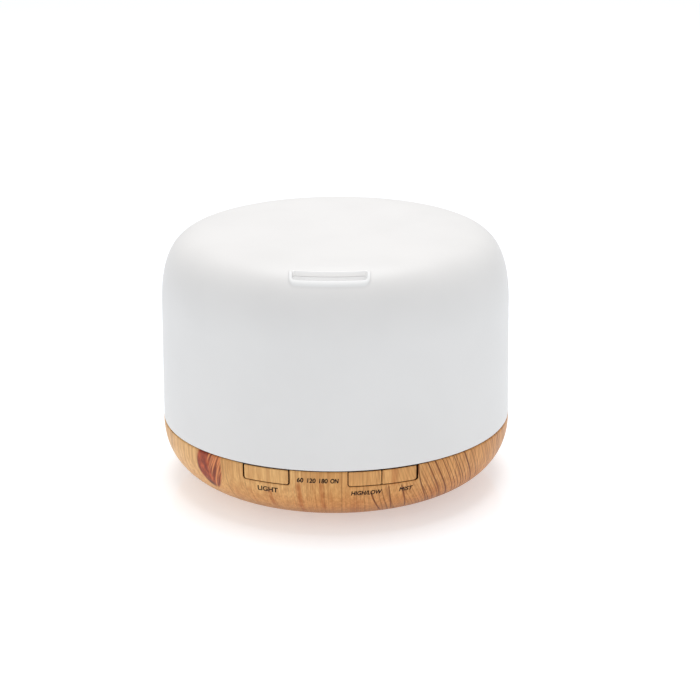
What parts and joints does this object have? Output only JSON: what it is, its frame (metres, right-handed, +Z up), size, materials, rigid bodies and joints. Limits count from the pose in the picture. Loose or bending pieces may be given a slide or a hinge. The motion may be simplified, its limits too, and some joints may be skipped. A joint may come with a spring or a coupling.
{
  "type": "essential oil diffuser",
  "caption": "Ultrasonic oil diffuser: lift-off white cover with a mist slot over a water tank, on a round wood-grain base with push buttons, a fan and driver electronics.",
  "frame": {"origin": "on the table, under the centre of the round base, at the bottom of the rubber feet", "axes": "+Z up, -Y towards the buttons and the mist slot, +Y towards the power socket, +X towards the air duct"},
  "size_m": [0.168, 0.168, 0.124],
  "materials": {
    "cover_white": "satin white moulded plastic",
    "tank_white": "smooth white moulded plastic",
    "base_wood_print": "plastic printed with a tan wood grain, satin",
    "bottom_plastic": "fine textured moulded plastic",
    "channel_plastic": "plain moulded plastic",
    "rubber": "matte",
    "silicone": "milky silicone",
    "transducer_disc": "plated ceramic disc",
    "clamp_steel": "pressed steel",
    "screw_steel": "zinc plated",
    "circuit_board": "glass fibre board with solder mask",
    "led_lens": "milky lens",
    "fan_black": "moulded",
    "component_black": "moulded",
    "switch_plunger": "moulded",
    "pin_metal": "nickel plated",
    "heat_sink_aluminium": "extruded",
    "inductor_copper": "enamelled copper winding",
    "wire_red": "insulation",
    "wire_black": "insulation"
  },
  "bodies": {
    "base": {"water_tank": "tank_white", "air_duct_hood": "tank_white", "base_shell": "base_wood_print", "bottom_plate": "bottom_plastic", "air_channel": "channel_plastic", "rubber_foot_1": "rubber", "rubber_foot_2": "rubber", "rubber_foot_3": "rubber", "rubber_foot_4": "rubber", "transducer_gasket": "silicone", "ultrasonic_transducer": "transducer_disc", "transducer_clamp": "clamp_steel", "clamp_screw_1": "screw_steel", "clamp_screw_2": "screw_steel", "fan_screw_1": "screw_steel", "fan_screw_2": "screw_steel", "case_screw_1": "screw_steel", "case_screw_2": "screw_steel", "case_screw_3": "screw_steel", "case_screw_4": "screw_steel", "driver_board_screw_1": "screw_steel", "driver_board_screw_2": "screw_steel", "led_ring_board": "circuit_board", "control_board": "circuit_board", "driver_board": "circuit_board", "light_led_1": "led_lens", "light_led_2": "led_lens", "light_led_3": "led_lens", "light_led_4": "led_lens", "indicator_led_1": "led_lens", "indicator_led_2": "led_lens", "indicator_led_3": "led_lens", "indicator_led_4": "led_lens", "fan_frame": "fan_black", "light_switch": "component_black", "high_low_switch": "component_black", "mist_switch": "component_black", "drive_transistor": "component_black", "filter_capacitor": "component_black", "control_chip": "component_black", "power_socket": "component_black", "power_socket_pin": "pin_metal", "heat_sink": "heat_sink_aluminium", "boost_inductor": "inductor_copper", "transducer_lead": "wire_red", "fan_lead": "wire_black", "socket_lead": "wire_black", "control_lead": "wire_black"},
    "cover": {"outer_cover": "cover_white", "mist_chute": "cover_white"},
    "light_button": {"light_button": "base_wood_print", "light_switch_plunger": "switch_plunger"},
    "high_low_button": {"high_low_button": "base_wood_print", "high_low_switch_plunger": "switch_plunger"},
    "mist_button": {"mist_button": "base_wood_print", "mist_switch_plunger": "switch_plunger"},
    "fan_rotor": {"fan_rotor": "fan_black"}
  },
  "joints": [
    {"name": "cover_lift", "type": "slide", "parent": "base", "child": "cover", "axis": [0, 0, 1], "range_m": [0, 0.1]},
    {"name": "light_press", "type": "slide", "parent": "base", "child": "light_button", "axis": [0, 1, 0], "range_m": [0, 0.0008], "stiffness_N_per_m": 1500},
    {"name": "high_low_press", "type": "slide", "parent": "base", "child": "high_low_button", "axis": [0, 1, 0], "range_m": [0, 0.0008], "stiffness_N_per_m": 1500},
    {"name": "mist_press", "type": "slide", "parent": "base", "child": "mist_button", "axis": [0, 1, 0], "range_m": [0, 0.0008], "stiffness_N_per_m": 1500},
    {"name": "fan_spin", "type": "hinge", "parent": "base", "child": "fan_rotor", "pos_m": [0.024, 0, 0.0102], "axis": [0, 0, 1], "continuous": true}
  ]
}
